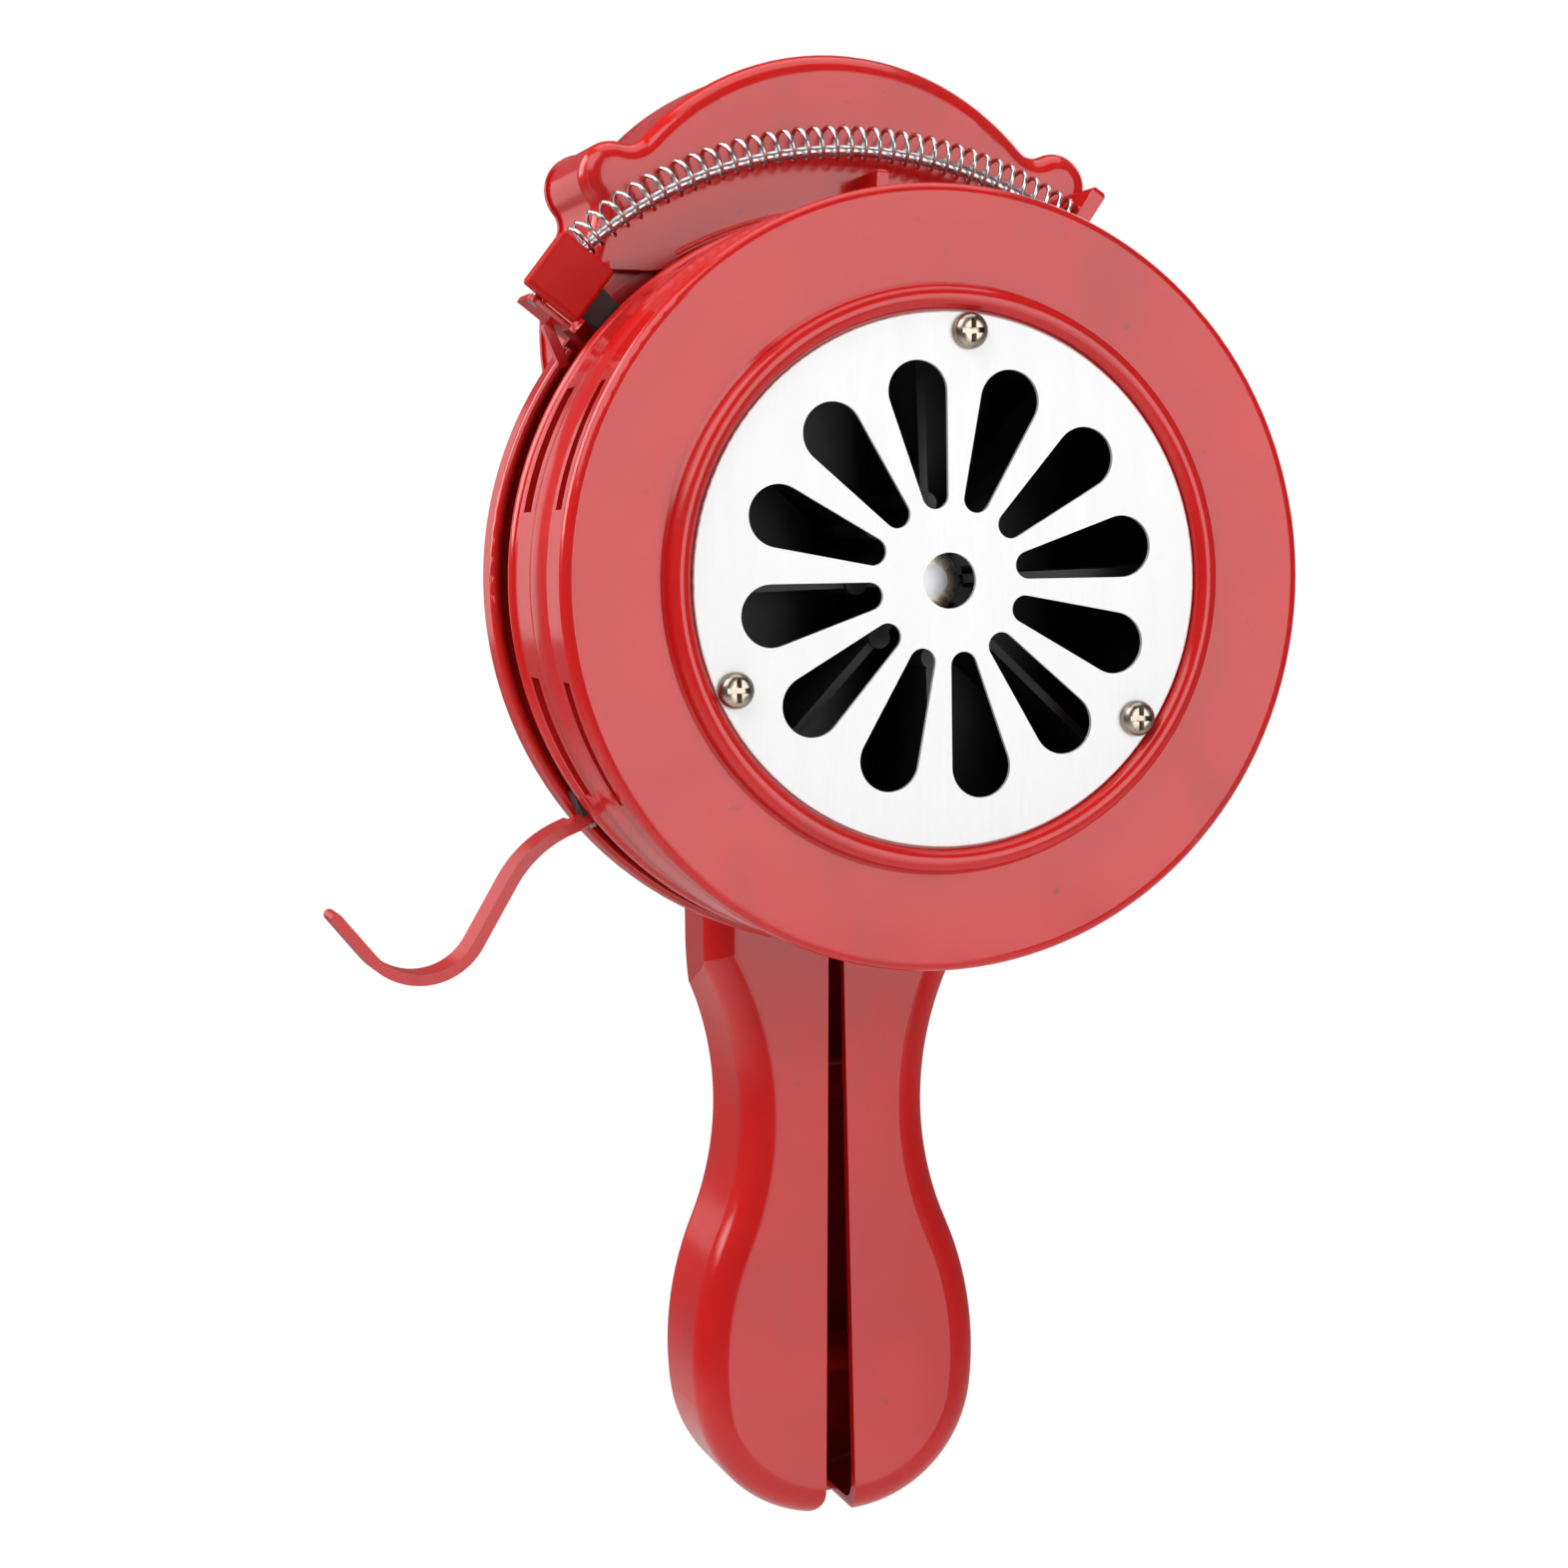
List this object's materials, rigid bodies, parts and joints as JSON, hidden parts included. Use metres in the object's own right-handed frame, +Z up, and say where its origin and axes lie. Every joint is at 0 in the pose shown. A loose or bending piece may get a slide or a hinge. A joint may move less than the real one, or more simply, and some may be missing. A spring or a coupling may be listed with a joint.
{
  "type": "hand crank siren",
  "caption": "Hand-held crank siren: slotted round drum with a grille, geared rotor, pistol grip, and a sprung shutter ring with a finger lever.",
  "frame": {"origin": "middle of the hand grip's neck, midway between its front and back faces", "axes": "+X to the viewer's right with the grille towards the viewer, +Y from the grille to the crank, +Z up"},
  "size_m": [0.1826, 0.1486, 0.3043],
  "materials": {
    "red_paint": "gloss enamel",
    "red_plastic": "moulded",
    "plate_metal": "satin",
    "plated_steel": "nickel plated",
    "spring_steel": "bright drawn wire",
    "plain_steel": "machined",
    "bronze": "sintered",
    "rotor_alloy": "black coated",
    "black_plastic": "moulded"
  },
  "bodies": {
    "siren_body": {"drum": "red_paint", "grille_plate": "plate_metal", "grille_screws": "plated_steel", "rear_casing": "red_paint", "rear_cover": "red_paint", "cover_screws": "plated_steel", "drum_screws": "plated_steel", "handle_left": "red_paint", "handle_right": "red_paint", "handle_screws": "plated_steel", "guide_rod": "spring_steel", "return_spring": "spring_steel", "rotor_front_bearing": "plain_steel", "rotor_rear_bearing": "plain_steel", "crank_front_bush": "bronze", "crank_rear_bush": "bronze", "idler_pin": "plain_steel"},
    "shutter": {"shutter_ring": "red_paint", "shutter_lever": "red_paint", "lever_rivets": "plated_steel", "slider_block": "red_plastic", "slider_screw": "plated_steel"},
    "rotor": {"rotor": "rotor_alloy", "rotor_shaft": "plain_steel", "rotor_pinion": "plain_steel", "rotor_washer": "plated_steel", "rotor_nut": "plated_steel"},
    "idler": {"idler_gear": "plain_steel", "idler_pinion": "plain_steel"},
    "crank": {"crank_shaft": "plain_steel", "crank_gear": "plain_steel", "crank_arm": "plain_steel", "crank_nut": "plated_steel", "knob_pin": "plated_steel"},
    "knob": {"crank_knob": "black_plastic"}
  },
  "joints": [
    {"name": "rotor_spin", "type": "hinge", "parent": "siren_body", "child": "rotor", "pos_m": [0, -0.052, 0.112], "axis": [0, 1, 0], "continuous": true},
    {"name": "idler_spin", "type": "hinge", "parent": "siren_body", "child": "idler", "pos_m": [0.01872, -0.014, 0.12826], "axis": [0, 1, 0], "continuous": true},
    {"name": "crank_turn", "type": "hinge", "parent": "siren_body", "child": "crank", "pos_m": [0, 0.003, 0.1627], "axis": [0, 1, 0], "continuous": true},
    {"name": "knob_spin", "type": "hinge", "parent": "crank", "child": "knob", "pos_m": [0, 0.038, 0.0907], "axis": [0, 1, 0], "continuous": true},
    {"name": "shutter_turn", "type": "hinge", "parent": "siren_body", "child": "shutter", "pos_m": [0, -0.032, 0.112], "axis": [0, 1, 0], "range_deg": [0, 22.5], "stiffness_Nm_per_rad": 0.6, "springref_deg": -20, "deforming": ["return_spring"]}
  ],
  "couplings": [
    {"joint": "idler_spin", "follows": "rotor_spin", "ratio": -0.29167},
    {"joint": "crank_turn", "follows": "rotor_spin", "ratio": 0.048611}
  ]
}
